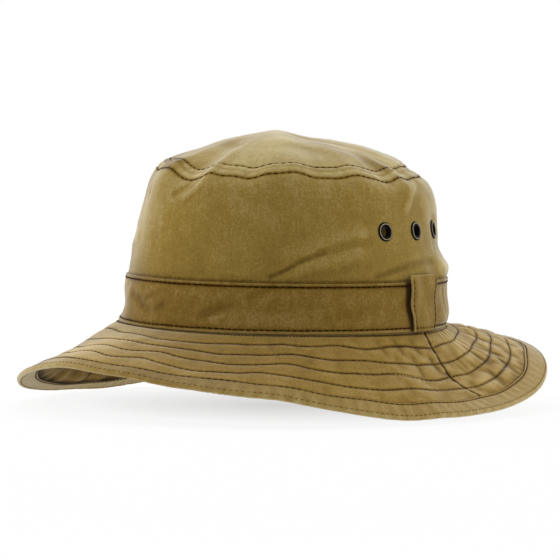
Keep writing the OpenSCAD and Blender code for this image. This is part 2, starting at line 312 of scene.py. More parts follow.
# Folds of the crown's foot and the band over it, as (path of angle and height, half width, height)
FOOT_FOLDS = (
    (((107, 33), (128, 33)), 6.0, 3.5),
    (((106, 8), (130, 8)), 8.0, 1.7),
    (((-72, 10), (-50, 9)), 7.5, -2.2),
    (((-36, 17), (-24, 9)), 3.2, -0.8),
    (((-40, 20), (-33, 19)), 3.0, 0.5),
    (((1, 10), (7, 15)), 2.2, -0.45),
    (((17, 20), (25, 25)), 2.5, -0.4),
    (((45, 8), (58, 13)), 4.0, -0.3),
    (((150, 8), (160, 18)), 5.0, -0.6),
    (((215, 18), (228, 10)), 4.0, -0.7),
    (((103.5, 22), (106, 10)), 1.6, -0.5),
    (((109, 20), (111.5, 6)), 1.8, -0.5),
)
# Folds of the crown side above the band
SIDE_FOLDS = (
    (((24, 31), (29, 34.5), (35, 40), (43.5, 45)), 1.3, -0.8),
    (((42, 44.5), (52, 48.5), (62, 50.5)), 2.4, -0.5),
    (((27, 30), (40, 37.5), (56, 43.5)), 4.5, 0.7),
    (((30, 43), (44, 52), (58, 56)), 5.0, 0.3),
    (((64, 31), (72, 34), (81, 37), (90, 38), (98, 38)), 1.9, -0.65),
    (((68, 29), (92, 32.5)), 3.5, 0.5),
    (((104, 47), (124, 46)), 4.0, -0.8),
    (((100, 70), (134, 68)), 11.0, 1.7),
    (((106, 84), (132, 84)), 8.0, 1.2),
    (((-76, 74), (-50, 76)), 10.0, -1.5),
    (((96, 85), (88, 77), (82.5, 68)), 2.4, 0.8),
    (((-14, 75), (-8, 81)), 2.0, 0.7),
    (((-20, 77), (-14, 84)), 2.6, -0.6),
    (((-43, 82), (-41, 74)), 3.0, -0.7),
    (((-32, 72), (-27, 60)), 6.0, 0.35),
    (((10, 72), (24, 60)), 6.0, 0.3),
    (((150, 70), (168, 52)), 5.0, 0.8),
    (((200, 45), (222, 62)), 5.0, -0.8),
    (((236, 76), (244, 58)), 3.5, 0.7),
    (((292, 40), (312, 50)), 4.0, 0.7),
)
# Folds of the tip, in millimetres to the wearer's left and back
TIP_FOLDS = (
    (((29, -28), (-8, 43)), 16.0, -3.0),
    (((11, -34), (-22, 28)), 8.0, 1.0),
    (((66, 12), (48, 47)), 9.0, 1.3),
    (((44, -11), (16, 42)), 9.0, -0.8),
    (((-35, -46), (-58, -2)), 10.0, -0.9),
    (((11, -6), (62, -1)), 5.0, -0.9),
    (((18, -27), (55, -20)), 7.0, 0.7),
    (((-40, -30), (-10, -44)), 6.0, -0.6),
    (((-52, 10), (-30, 30)), 8.0, 0.6),
)


def from_vent(a, z, angle):
    """Distance on the crown side from the middle of the vent at an angle."""
    return np.hypot(arc(a, angle, SIDE_REACH), z - VENT_H)


def foot_lie(a, z):
    """Displacement that the crown's foot, its band and its tab share."""
    return side_folds(FOOT_FOLDS, a, z) * smooth(z / 4)


def seam_ridge(a, away, seed):
    """Cloth beside a topstitched seam: it dips at the seam, puffs up in small uneven puckers and
    dips at the stitches."""
    puff = np.where(away < TOPSTITCH, np.sin(np.pi * np.clip(away / TOPSTITCH, 0, 1)), 0)
    size = np.clip(0.26 + 0.13 * ripples(a, away / 2, seed, 24, 80, 0.8), 0.04, 0.6)
    return size * puff - 0.04 * hump(away / TOPSTITCH_W) - 0.28 * hump((away - TOPSTITCH) / TOPSTITCH_W)


def side_lie(a, z):
    """Displacement of the crown side: its foot's lie, and above the band broad dents, folds and
    tucks that fade away from the tip seam. It is still round the vents."""
    free, sunk = smooth((z - BAND_H - 1) / 5), 0
    for angle, _, sink in VENTS:
        away = from_vent(a, z, angle)
        free = free * (1 - np.exp(-(away / 8.5) ** 4))
        sunk = sunk - sink * np.exp(-(away / 12) ** 4)
    below = SIDE_H - z
    lie = 0.3 * ripples(a, z / 30, 11, 3, 9, 1.0) + 0.05 * ripples(a, z / 12, 12, 14, 30, 1.4)
    lie = lie + 0.14 * tucks(a, z / 6, 14, 26, 50, 0.8) * np.exp(-below / 6) + side_folds(SIDE_FOLDS, a, z)
    lie = lie * free * (0.35 + 0.65 * smooth(below / 8)) * smooth(below / 1.5)
    return lie + sunk + foot_lie(a, z) + seam_ridge(a, below, 16)


def tip_place(a, rho):
    """Lengths from the tip's middle to the wearer's left and back."""
    return rho * TIP_HALF * sin(a), -rho * TIP_HALF * cos(a)


def tip_lie(a, rho):
    """Displacement of the tip: broad dents, folds across it and tucks that fade from the seam."""
    away = (1 - rho) * TIP_HALF
    x, y = tip_place(a, rho)
    draw = np.random.default_rng(21)
    lie = 0
    for _ in range(9):
        way, length = draw.uniform(0, 2 * np.pi), draw.uniform(34, 80)
        phase = draw.uniform(0, 2 * np.pi)
        lie = lie + 0.12 * np.cos(2 * np.pi * (x * np.cos(way) + y * np.sin(way)) / length + phase)
    lie = lie + folds(TIP_FOLDS, x, y) + 0.16 * tucks(a, rho, 22, 26, 50, 0.5) * np.exp(-away / 7)
    return lie * smooth(away / 6) + seam_ridge(a, away, 17)


# Waves of the brim as (angle, half width in degrees, height at the edge)
BRIM_WAVES = ((-18, 12, 2.9), (-3, 6, 1.6), (10, 11, 0.7), (28, 6, 1.3), (38, 9, 0.5), (62, 20, 1.6),
              (67, 7, 2.0), (78, 8, 1.0), (95, 9, -0.2), (124, 10, 0.8), (160, 12, 0.9), (200, 10, -0.8),
              (240, 9, 3.6), (251, 8, 2.2), (266, 10, 1.6), (289, 11, 0.5), (303, 9, -0.2))
# Broad dents and bulges of the brim as (angle, half width in degrees, length from the join, half
# length, height)
BRIM_DENTS = ((121, 12, 33, 24, -2.2), (144, 9, 52, 14, -1.8), (266, 22, 50, 12, -5.6),
              (310, 25, 15, 14, 1.7))
# Strays of the stitch rows and the binding's edge as (angle, half width in degrees, shift outwards)
ROW_STRAYS = (
    ((-46, 10, -3.0), (-14, 14, 1.8), (-4, 11, 2.2), (45, 6, -1.0), (72, 9, -1.7), (113, 8, -0.6)),
    ((-33, 5, 1.6), (-14, 14, 2.4), (13, 5, 1.1), (31, 5, -1.5), (42, 4, 1.2), (56, 5, -1.0),
     (88, 14, 1.1), (116, 6, -1.0)),
    ((-30, 5, 3.0), (-14, 14, 2.2), (-13, 4, 1.9), (-3, 4, -2.6), (15, 5, 1.0), (31, 5, -2.6),
     (43, 6, 1.8), (62, 6, -2.2), (78, 6, 2.6), (95, 6, 1.2), (122, 7, -1.6)),
    ((-28, 4, 2.6), (-14, 14, 2.2), (-13, 4, 2.4), (-5, 3, -1.5), (9, 5, 2.8), (23, 4, -2.4),
     (46, 8, 2.0), (64, 5, -1.4), (95, 8, 1.8), (126, 7, -0.8)),
    ((-82, 24, 4.0), (-16, 15, 3.6), (-8, 5, 0.8), (19, 5, -1.5), (39, 6, 1.5), (56, 7, 1.0),
     (87, 7, -1.0), (121, 8, -1.4)),
)
# Size of the tucks at each of the angle stations, their slant at each row, and finer tucks on
# the wearer's left
RIPPLE_SIZE = (0.25, 0.3, 0.9, 1.7, 2.0, 1.1, 0.8, 0.9, 1.5, 1.4, 0.7, 0.3)
TUCK_SLANT = (0.05, -0.11, 0.10, -0.07, 0.12, -0.1)
TUCK_SIZE, FIRST_TUCKS = 0.42, 0.6
FINE_SIZE, FINE_ANGLE, FINE_WIDTH = 0.24, 116.0, 20.0
# Seams of the brim halves, the angle that they wander by, where and over what length they do, and
# how far round the cloth goes with them
SEAMS, SEAM_SHIFT = (90.0, 270.0), (-4.2, 2.0)
SHIFT_S, SHIFT_HALF, SHIFT_ROUND = 34.0, 20.0, 25.0
# Half widths of the pinch at a row of stitches and of the groove at a seam
PINCH_W, GROOVE_W = 0.75, 1.4
# Depth of the groove at the brim join, and the angle where the join lies smooth
JOIN_DIP, SMOOTH_JOIN = 0.5, 110.0


def seam_angle(k, s):
    """Angle of a brim seam, which wanders between its ends."""
    return SEAMS[k] + SEAM_SHIFT[k] * hump((s - SHIFT_S) / SHIFT_HALF)


def beside_seams(a, s):
    """Angles of a brim half, turned along with the seams near them."""
    for k in (0, 1):
        a = a + (seam_angle(k, s) - SEAMS[k]) * hump(turned(a, SEAMS[k]) / SHIFT_ROUND)
    return a


def brim_row(k, a):
    """Length from the join of stitch row k: evenly spaced, with a hand-guided wobble. The last is
    the binding's edge."""
    if k == 0:
        return 0 * a
    return k * ROW_PITCH + (0.25 * ripples(a, 0, 30 + k, 4, 22, 0) + bells(ROW_STRAYS[k - 1], a))


def row_tucks(k, a, s):
    """Tucks that the stitches of row k draw up on both of its sides, slanted a little."""
    return tucks(a + TUCK_SLANT[k] * (s - k * ROW_PITCH), s / 30, 50 + k, 13, 29, 0.5)


def brim_lie(a, s):
    """Lie of the brim as (common displacement, puff of each face, pinch at the rows, groove at
    the seams). Between two rows the cloth swells, and the tucks of one row pass into those of
    the next. The binding holds the ripples flat."""
    a, s = spread(a, s)
    puff, pinch, groove = 0 * s, 0 * s, 0 * s
    common = bells(BRIM_WAVES, a) * smooth(s / BRIM_W) + spots(BRIM_DENTS, a, s)
    size = around(RIPPLE_SIZE, a)
    rows = [brim_row(k, a) for k in range(ROW_COUNT + 2)]
    for k in range(ROW_COUNT + 1):
        f = np.clip((s - rows[k]) / (rows[k + 1] - rows[k]), 0, 1)
        inside = (s >= rows[k]) & (s < rows[k + 1])
        swell = np.sin(np.pi * f)
        mixed = row_tucks(k, a, s) * (1 - smooth(f)) + row_tucks(k + 1, a, s) * smooth(f)
        fine = FINE_SIZE * hump(turned(a, FINE_ANGLE) / FINE_WIDTH) * tucks(a, s / 30, 75 + k, 40, 70, 0.5)
        tuck = TUCK_SIZE * (FIRST_TUCKS if k == 0 else 1) * size * mixed + fine
        common = common + np.where(inside, tuck * np.sqrt(swell), 0)
        puff = puff + np.where(inside, 0.3 * swell ** 0.7, 0)
    for row in rows[1:]:
        pinch = pinch + hump((s - row) / PINCH_W)
    beyond = s - rows[-1]
    edge = 0.03 * ripples(a, s / 9, 60, 40, 90, 1.0) * smooth(beyond / 3)
    common = np.where(beyond > 0, common + edge, common)
    for k in (0, 1):
        away = np.abs(arc(a, seam_angle(k, s), BRIM_REACH))
        groove = groove + hump(away / GROOVE_W) * smooth((BINDING_S + 1 - s) / 2)
        common = common + 0.14 * np.cos(s * 1.15 + k) * np.exp(-away / 5) * smooth((BINDING_S - s) / 6)
    start = smooth(s / 3)
    dip = JOIN_DIP * hump(s / 1.2) * (1 - 0.9 * hump(turned(a, SMOOTH_JOIN) / 18))
    return (common - BRIM_SINK) * start - dip, puff * start, pinch, groove


def top_face(a, s):
    """Upper face of the brim."""
    common, puff, pinch, groove = brim_lie(a, s)
    return common + puff - 0.25 * pinch - 0.45 * groove


def under_face(a, s):
    """Lower face of the brim."""
    common, puff, pinch, groove = brim_lie(a, s)
    return common - STACK_T - 0.8 * puff + 0.25 * pinch + 0.4 * groove


def binding_s(a, s):
    """Length from the join on the tape, whose inner edge strays and whose fold stays."""
    stray = brim_row(ROW_COUNT + 1, a) - BINDING_S
    return s + stray * np.clip((FOLD_S - s) / (FOLD_S - BINDING_S), 0, 1)


def binding_puckers(a, s):
    """Small puckers of the tape beyond its stitches."""
    return ripples(a, s / 6, 61, 70, 120, 0.6) * smooth((s - BINDING_ROW) / 2.5)


def binding_lie(a, s, way):
    """Tape on one face of the brim: it follows the brim, dips at its stitches and lies in small
    slanting puckers."""
    common = brim_lie(a, np.minimum(binding_s(a, s), FOLD_S))[0]
    pucker = 0.03 * binding_puckers(a + 0.25 * (s - BINDING_S), s)
    return common + way * (pucker - 0.22 * hump((s - BINDING_ROW) / 0.6) - 0.16 * hump((s - RIM_ROW) / 0.6))


def band_lie(a, z):
    """The band follows the crown's foot and stands off it in faint waves between its stitched
    edges. It is flat under the tab."""
    edge = np.minimum(z, BAND_H - z)
    free = smooth((edge - 1) / 7) * (1 - 0.9 * hump(turned(a, TAB_ANGLE) / 12))
    lie = 0.13 * (1.4 + np.clip(ripples(a, z / 20, 81, 4, 12, 0.8), -1.4, 2)) * free
    lie = lie + 0.03 * (1.5 + np.clip(ripples(a, z / 7, 82, 26, 60, 1.0), -1.5, 1.5)) * free
    ridge = 0.14 * np.sin(np.pi * np.clip(edge / BAND_ROW, 0, 1)) * (edge < BAND_ROW)
    return lie + ridge + foot_lie(a, z)


def tab_edges(z):
    """Front and rear edge of the tab at a height, behind its middle: the front one flares out
    above the foot, and the rear one is drawn in halfway up."""
    return -12.0 - 6.5 * smooth(z / 17), 11.5 - 2.2 * hump((z - 20) / 7)


def tab_lie(x, z):
    """Height of the tab's middle over the band: it stands off along its front edge, its rear edge
    waves outwards, and its foot is held down."""
    free = smooth(z / 10)
    lift = 1.2 * smooth((-6 - x) / 10) * free
    wave = 0.35 * (1 + np.sin(z / 4.2 + 1.0)) * smooth((x - 4) / 7)
    return TAB_MIDDLE + (0.3 + lift + wave * free + 0.1 * (1 + np.cos(x / 3.2)) * free)


def tab_point(x, z, h):
    """Point of the tab at a length x behind its middle and a height, h off the band."""
    a = TAB_ANGLE + np.degrees(x / HALF_L)
    return side(a, z, h + foot_lie(a, z))


# Meshes

SHARP = 48.0
# Rings of one stitch as (place along its half length, share of the width, lift in widths)
THREAD_RINGS = ((-1.0, 0.45, -0.30), (-0.62, 0.95, 0.03), (0.0, 1.0, 0.12), (0.62, 0.95, 0.03),
                (1.0, 0.45, -0.30))
THREAD_SIDES = 6


def finished(name, points, faces, material, slot, corner_uv=None, **marks):
    """Mesh object at the origin from points in millimetres and faces, with the flat map of the
    faces' corners, and values on its points as attributes."""
    mesh = bpy.data.meshes.new(name)
    mesh.from_pydata(((points.reshape(-1, 3) + JOIN) * MM).tolist(), [], faces)
    if corner_uv is not None:
        layer = mesh.uv_layers.new(name="flat")
        layer.data.foreach_set("uv", (corner_uv * MM).astype(np.float32).ravel())
    for key, values in marks.items():
        mesh.attributes.new(key, "FLOAT", "POINT").data.foreach_set("value", values.astype(np.float32))
    mesh.polygons.foreach_set("use_smooth", np.ones(len(faces), bool))
    mesh.set_sharp_from_angle(angle=np.radians(SHARP))
    mesh.materials.append(material)
    piece = bpy.data.objects.new(name, mesh)
    bpy.context.scene.collection.objects.link(piece)
    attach(piece, "root")
    return piece


def lengths(line):
    """Running length along a line of points."""
    return np.concatenate([[0], np.cumsum(np.linalg.norm(np.diff(line, axis=0), axis=1))])


def flat_map(grid, ring):
    """Cloth laid out flat: length round the middle of the grid, and length along each column. It
    has one column more on a ring."""
    if ring:
        grid = np.concatenate([grid, grid[:1]])
    u = lengths(grid[:, grid.shape[1] // 2])
    step = np.linalg.norm(np.diff(grid, axis=1), axis=-1)
    v = np.concatenate([np.zeros((len(grid), 1)), np.cumsum(step, 1)], 1)
    return np.stack([np.broadcast_to(u[:, None], v.shape), v], -1)


def cells(n, m):
    """Column and row numbers of the cells of a grid."""
    return (g.ravel() for g in np.meshgrid(np.arange(n), np.arange(m), indexing="ij"))


def closed_sheet(name, outer, inner, uv, wear, material, slot, ring, keep):
    """Closed sheet between two skins, each a grid of points. Wherever a kept cell meets an empty
    one or the border, a wall joins the skins."""
    n, m = outer.shape[:2]
    cols = n if ring else n - 1
    keep = np.ones((cols, m - 1), bool) if keep is None else keep
    i, j = cells(cols, m - 1)
    quads, corners = [], []

    def add_faces(ends, where):
        """Faces at the cells wanted, between grid points given as (column, row, skin)."""
        quads.append(np.stack([(i + x) % n * m + j + y + skin * n * m for x, y, skin in ends], -1)[where])
        corners.append(np.stack([(i + x) * m + j + y for x, y, _ in ends], -1)[where])

    run = ((0, 0), (1, 0), (1, 1), (0, 1))
    across = np.cross(outer[1:, 1:] - outer[:-1, :-1], outer[:-1, 1:] - outer[1:, :-1])
    if (across * (outer - inner)[:-1, :-1]).sum() < 0:
        run = run[::-1]
    add_faces([(x, y, 0) for x, y in run], keep.ravel())
    add_faces([(x, y, 1) for x, y in run[::-1]], keep.ravel())
    wide = np.zeros((cols + 2, m + 1), bool)
    wide[1:-1, 1:-1] = keep
    if ring:
        wide[0, 1:-1], wide[-1, 1:-1] = keep[-1], keep[0]
    for (x0, y0), (x1, y1) in zip(run, run[1:] + run[:1]):
        step_i = (x0 + x1 - 1) if x0 == x1 else 0
        step_j = (y0 + y1 - 1) if y0 == y1 else 0
        open_side = (keep & ~wide[1 + step_i:1 + step_i + cols, 1 + step_j:step_j + m]).ravel()
        add_faces([(x1, y1, 0), (x0, y0, 0), (x0, y0, 1), (x1, y1, 1)], open_side)
    quads, corners = np.concatenate(quads), np.concatenate(corners)
    points = np.concatenate([outer.reshape(-1, 3), inner.reshape(-1, 3)])
    used = np.unique(quads)
    renumber = np.zeros(len(points), int)
    renumber[used] = np.arange(len(used))
    return finished(name, points[used], renumber[quads].tolist(), material, slot,
                    uv.reshape(-1, 2)[corners.ravel()], wear=np.tile(np.ravel(wear), 2)[used])


def cloth_piece(node, skins, wear, material, slot, flat, area, rests_on, ring=False, keep=None, uv=None):
    """Cloth that stands for its solid, between an outer and an inner skin. Its flat size is not
    used."""
    uv = flat_map(skins[0], ring) if uv is None else uv
    piece = closed_sheet(f"{node}_cloth", *skins, uv, wear, material, slot, ring, keep)
    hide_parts(node)


def stitches(name, rows, material, slot):
    """Sewing: along each row of (points, normals, length, gap, width) one capsule for each
    stitch, thick in its middle, with both ends sunk into the cloth."""
    turn = 2 * np.pi * np.arange(THREAD_SIDES) / THREAD_SIDES
    sewing = []
    for line, normal, length, gap, width in rows:
        run = lengths(line)
        count = max(1, int(run[-1] // (length + gap)))
        middle = (np.arange(count) + 0.5) * run[-1] / count

        def along(values, at):
            return np.stack([np.interp(at, run, values[:, k]) for k in range(3)], -1)

        ahead = unit(along(line, middle + 0.3 * length) - along(line, middle - 0.3 * length))
        off = along(normal, middle)
        off = unit(off - (off * ahead).sum(1, keepdims=True) * ahead)
        beside = np.cross(ahead, off)
        circle = np.cos(turn)[None, :, None] * beside[:, None] + np.sin(turn)[None, :, None] * off[:, None]
        centres = [along(line, middle + 0.5 * t * length) + lift * width * off for t, _, lift in THREAD_RINGS]
        sewing.append(np.stack([centre[:, None] + 0.5 * width * thick * circle
                                for centre, (_, thick, _) in zip(centres, THREAD_RINGS)], 1))
    points = np.concatenate(sewing)
    total, rings = points.shape[:2]
    base = np.arange(total)[:, None] * rings * THREAD_SIDES
    r, k = cells(rings - 1, THREAD_SIDES)
    here, after = r * THREAD_SIDES + k, r * THREAD_SIDES + (k + 1) % THREAD_SIDES
    quad = np.stack([here, here + THREAD_SIDES, after + THREAD_SIDES, after], -1)
    first = np.arange(THREAD_SIDES)
    caps = np.concatenate([base + first, base + (rings - 1) * THREAD_SIDES + first[::-1]])
    quads = (base[..., None] + quad).reshape(-1, 4)
    finished(name, points, quads.tolist() + caps.tolist(), material, slot)


# Materials

def connect(tree, node, **inputs):
    """Node with its inputs set or linked, each by its name, or by i and its number."""
    for key, value in inputs.items():
        numbered = key[0] == "i" and key[1:].isdigit()
        socket = node.inputs[int(key[1:]) if numbered else key.replace("_", " ")]
        if isinstance(value, bpy.types.NodeSocket):
            tree.links.new(value, socket)
        else:
            socket.default_value = value
    return node


def value_node(tree, kind, **inputs):
    """New node of a kind."""
    return connect(tree, tree.nodes.new(kind), **inputs)


def maths(tree, operation, a, b=0.0, clamp=False):
    """Result of a sum on two values."""
    node = value_node(tree, "ShaderNodeMath", i0=a, i1=b)
    node.operation, node.use_clamp = operation, clamp
    return node.outputs[0]


def sums(tree):
    """Functions that add, take away and multiply, and that multiply with the result held to 0 to 1."""
    def of(operation, clamp=False):
        return lambda a, b: maths(tree, operation, a, b, clamp)
    return of("ADD"), of("SUBTRACT"), of("MULTIPLY"), of("MULTIPLY", True)


def vector_sum(tree, operation, a, **more):
    """Node that works on vectors."""
    node = value_node(tree, "ShaderNodeVectorMath", i0=a, **more)
    node.operation = operation
    return node


def blend_colour(tree, factor, a, b):
    """Colour a turned towards colour b by a factor."""
    node = tree.nodes.new("ShaderNodeMix")
    node.data_type, node.clamp_factor = "RGBA", True
    return connect(tree, node, Factor=factor, i6=a, i7=b).outputs[2]


def noise(tree, place, scale, detail):
    """Soft random values."""
    return value_node(tree, "ShaderNodeTexNoise", Vector=place, Scale=scale, Detail=detail).outputs["Fac"]


def bumped(tree, strength, distance, height):
    """Normals from a height."""
    node = value_node(tree, "ShaderNodeBump", Strength=strength, Distance=distance, Height=height)
    return node.outputs["Normal"]


def own_place(tree):
    """The piece's own coordinates."""
    return tree.nodes.new("ShaderNodeTexCoord").outputs["Object"]


def mark(tree, name):
    """Values of an attribute of the mesh."""
    node = tree.nodes.new("ShaderNodeAttribute")
    node.attribute_name = name
    return node.outputs["Fac"]


def colour(r, g, b):
    """Linear colour from screen values of 0 to 255."""
    c = np.array([r, g, b]) / 255
    return (*np.where(c <= 0.04045, c / 12.92, ((c + 0.055) / 1.055) ** 2.4).tolist(), 1.0)


def group(name, ins, outs):
    """Empty shader group with named sockets, its inputs by name, and its output node."""
    tree = bpy.data.node_groups.new(name, "ShaderNodeTree")
    for way, sockets in (("INPUT", ins), ("OUTPUT", outs)):
        for label, kind in sockets.items():
            tree.interface.new_socket(name=label, in_out=way, socket_type="NodeSocket" + kind)
    return tree, tree.nodes.new("NodeGroupInput").outputs, tree.nodes.new("NodeGroupOutput")


def placed(tree, effect, **inputs):
    """Outputs of a shader group placed in a material."""
    node = tree.nodes.new("ShaderNodeGroup")
    node.node_tree = effect
    return connect(tree, node, **inputs).outputs


def weave_group():
    """Canvas: warp and weft threads cross as a product of two sines of the flat map, and slubs
    are noise drawn out along each thread."""
    tree, into, out = group("canvas_weave", {"Flat": "Vector", "Pitch": "Float", "Slub": "Float"},
                            {"Height": "Float", "Streak": "Float"})
    add, take, times, _ = sums(tree)
    parts = value_node(tree, "ShaderNodeSeparateXYZ", i0=into["Flat"])
    waves = []
    for axis in (0, 1):
        turns = maths(tree, "DIVIDE", parts.outputs[axis], into["Pitch"])
        waves.append(maths(tree, "SINE", times(turns, np.pi)))
    streaks = []
    for stretch in ((1500.0, 75.0, 1.0), (80.0, 1500.0, 1.0)):
        drawn_out = vector_sum(tree, "MULTIPLY", into["Flat"], i1=stretch).outputs[0]
        streaks.append(noise(tree, drawn_out, 1.0, 2.0))
    streak = take(add(streaks[0], times(streaks[1], 0.6)), 0.8)
    height = add(times(times(*waves), 0.35), times(streak, into["Slub"]))
    connect(tree, out, Height=height, Streak=streak)
    return tree


def fade_and_shading_group():
    """Washed colour: the cloth's own colour in soft patches, paler on worn crests and at painted highlights,
    deeper in the hollows and at painted shade such as that beside stitches, and streaked along its threads."""
    tree, into, out = group(
        "washed_fade_and_shading",
        {"Place": "Vector", "Own": "Color", "Pale": "Color", "Deep": "Color", "Wear": "Float",
         "Streak": "Float", "Patches": "Float"},
        {"Colour": "Color", "Roughness": "Float"})
    add, take, times, share = sums(tree)
    shift = add(into["Wear"], times(into["Streak"], 0.6))
    for scale, amount in ((34.0, 0.8), (210.0, 0.7), (800.0, 1.5)):
        patch = times(take(noise(tree, into["Place"], scale, 3.0), 0.5), amount)
        shift = add(shift, times(patch, into["Patches"]))
    tone = blend_colour(tree, share(shift, 0.55), into["Own"], into["Pale"])
    tone = blend_colour(tree, share(shift, -0.6), tone, into["Deep"])
    connect(tree, out, Colour=tone, Roughness=add(0.86, times(shift, 0.08)))
    return tree


WEAVE, FADE_AND_SHADING = weave_group(), fade_and_shading_group()
SHEEN_TINT = (253, 250, 240)


def shader(name):
    """New material's node tree with its Principled shader."""
    material = bpy.data.materials.new(name)
    material.use_nodes = True
    tree = material.node_tree
    return material, tree, tree.nodes["Principled BSDF"]


def cloth_material(name, own, pale, deep, pitch=0.00055, slub=0.5, patches=0.9, sheen=0.6):
    """Washed cotton: the weave's streaks and the wear attribute, which holds wear and
    painted light and shade, set its colour, and the weave its bump."""
    material, tree, bsdf = shader(name)
    flat = tree.nodes.new("ShaderNodeUVMap")
    flat.uv_map = "flat"
    weave = placed(tree, WEAVE, Flat=flat.outputs["UV"], Pitch=pitch, Slub=slub)
    # The fade input's wear carries painted highlights and painted shade as well as wear
    fade = placed(tree, FADE_AND_SHADING, Place=own_place(tree), Own=colour(*own), Pale=colour(*pale), Deep=colour(*deep),
                  Wear=mark(tree, "wear"), Streak=weave["Streak"], Patches=patches)
    connect(tree, bsdf, Base_Color=fade["Colour"], Roughness=fade["Roughness"],
            Normal=bumped(tree, 0.35, 0.0003, weave["Height"]), Specular_IOR_Level=0.0,
            Sheen_Weight=sheen, Sheen_Roughness=0.3, Sheen_Tint=colour(*SHEEN_TINT))
    return material


def thread_material(name, own, pale):
    """Cotton thread: dark, paler where it is rubbed, with a fine twist as bump."""
    material, tree, bsdf = shader(name)
    place = own_place(tree)
    _, take, _, share = sums(tree)
    rub = share(take(noise(tree, place, 160.0, 2.0), 0.53), 5.0)
    connect(tree, bsdf, Base_Color=blend_colour(tree, rub, colour(*own), colour(*pale)), Roughness=0.8,
            Normal=bumped(tree, 0.5, 0.0001, noise(tree, place, 4200.0, 1.0)), Specular_IOR_Level=0.0)
    return material


def enamel_material(name, own, bright):
    """Enamel on brass: the crest attribute rubs it through to dull metal, with fine chips."""
    material, tree, bsdf = shader(name)
    add, take, times, share = sums(tree)
    chips = noise(tree, own_place(tree), 900.0, 3.0)
    rubbed = add(mark(tree, "crest"), times(take(chips, 0.5), 0.7))
    bare = share(take(rubbed, 0.45), 3.0)
    connect(tree, bsdf, Base_Color=blend_colour(tree, bare, colour(*own), colour(*bright)), Metallic=bare,
            Roughness=add(0.45, times(chips, 0.2)), Normal=bumped(tree, 0.15, 0.0001, chips),
            Specular_IOR_Level=0.03)
    return material


# Each cloth's own colour, its pale colour for worn places and painted highlights, and its deep colour for the
# hollows and painted shade
CANVAS = cloth_material("crown_canvas", (147, 122, 58), (204, 188, 136), (80, 57, 16), sheen=0.95)
BRIM_CANVAS = cloth_material("brim_canvas", (149, 120, 55), (202, 177, 118), (66, 42, 8), sheen=0.85)
# The under canvas is kept darker than the brim's upper canvas, a painted shade of the brim's lower face
UNDER_CANVAS = cloth_material("under_canvas", (124, 95, 40), (184, 156, 96), (58, 40, 8), sheen=0.25)
BINDING_CANVAS = cloth_material("binding_canvas", (158, 132, 74), (206, 188, 138), (90, 66, 24), sheen=0.8)
BAND_CANVAS = cloth_material("band_canvas", (131, 104, 46), (184, 162, 106), (68, 45, 10),
                             slub=0.7, patches=1.2, sheen=0.95)
TAB_CANVAS = cloth_material("tab_canvas", (138, 113, 54), (190, 166, 108), (76, 55, 17))
SWEAT_CLOTH = cloth_material("sweatband_twill", (122, 98, 60), (160, 138, 98), (80, 60, 34), 0.0004, 0.3)
TAPE_CLOTH = cloth_material("seam_tape", (116, 92, 58), (150, 128, 92), (76, 58, 34), 0.0008, 0.3)
STIFFENER = cloth_material("non_woven", (226, 222, 210), (240, 238, 230), (190, 186, 172), 0.0012, 0.8)
THREAD = thread_material("dark_thread", (66, 40, 4), (134, 104, 52))
DARK_THREAD = thread_material("black_brown_thread", (38, 22, 3), (66, 45, 14))
TAN_THREAD = thread_material("tan_thread", (104, 78, 34), (136, 108, 56))
PALE_THREAD = thread_material("pale_thread", (188, 160, 98), (206, 182, 124))
ENAMEL = enamel_material("worn_enamel", (14, 12, 9), (150, 140, 112))


# Pieces

# Painted highlights and painted shade on the cloths, in spots as (angle, half width in degrees, place, half
# length, amount)
SIDE_PAINTED_LIGHT = ((-47, 8, 48, 24, 0.45), (-40, 14, 62, 18, 0.35), (-37, 9, 88.5, 4, -1.4),
              (110, 8, 35, 8, 1.5), (108, 7, 64, 12, 0.5))
BAND_PAINTED_LIGHT = ((-54, 10, 20, 40, 0.6), (113, 10, 14, 40, 0.65), (27, 18, 7, 6, 0.4), (-8, 10, 12, 12, -0.2))
BRIM_PAINTED_LIGHT = ((18, 30, 20, 30, -0.42), (-26, 10, 36, 26, 1.45), (94, 6, 40, 10, 0.5), (112, 5, 37, 8, -0.5),
              (108, 7, 12, 8, 0.9), (128, 8, 36, 14, 0.3), (-54, 10, 12, 12, 0.6), (72, 14, 6, 5, -0.4),
              (88, 6, 20, 12, -0.3))
BINDING_PAINTED_LIGHT = ((95, 25, 60, 40, 0.3), (3, 25, 60, 40, -0.6), (-24, 8, 60, 40, 0.4))
# Painted shade in the creases and painted highlights beside folds of the cloths as (path, half width, amount)
SIDE_CREASE_SHADE = (
    (((24, 31), (29, 34.5), (35, 40), (43, 44.5)), 1.1, -0.5),
    (((64, 31), (72, 34), (80, 36.5)), 1.1, -0.25),
)
BAND_CREASE_SHADING = (
    (((-33.5, 17.5), (-31.5, 14.5), (-28.5, 11)), 1.3, -0.5),
    (((-27.5, 15.5), (-24, 18)), 1.6, -0.75),
    (((-20.5, 10), (-17.5, 13.5)), 1.6, -0.65),
    (((2.5, 8.5), (7.5, 13), (11, 15)), 1.5, -0.7),
    (((5, 7), (9, 9.5)), 1.4, 0.5),
)
TIP_PAINTED_LIGHT = (
    (((10, -67), (17, -32)), 11.5, 0.5),
    (((-58, -42), (-20, -32)), 9.0, -0.7),
    (((-56, -46), (-38, -61)), 5.0, -1.4),
    (((30, -13), (48, -19), (58, -12), (67, -7)), 5.0, -0.9),
    (((40, -4), (55, 2), (66, 8)), 2.5, 0.7),
)
# Distances from a rolled edge at which the cloth has points
EDGE_STEPS = np.array([0, 0.08, 0.2, 0.4, 0.7, 1.2])
BAND_STEPS = np.concatenate([EDGE_STEPS, [1.6, 2.0, 2.4, 3.0]])


def strip(start, end, count):
    """Evenly spaced angles from one end of a strip to the other."""
    return np.linspace(start, end, count)[:, None]


def rolled(edge, radius):
    """Share of the thickness left near a rolled edge: a quarter circle."""
    e = np.clip(edge / radius, 0.06, 1)
    return np.sqrt(1 - (1 - e) ** 2)


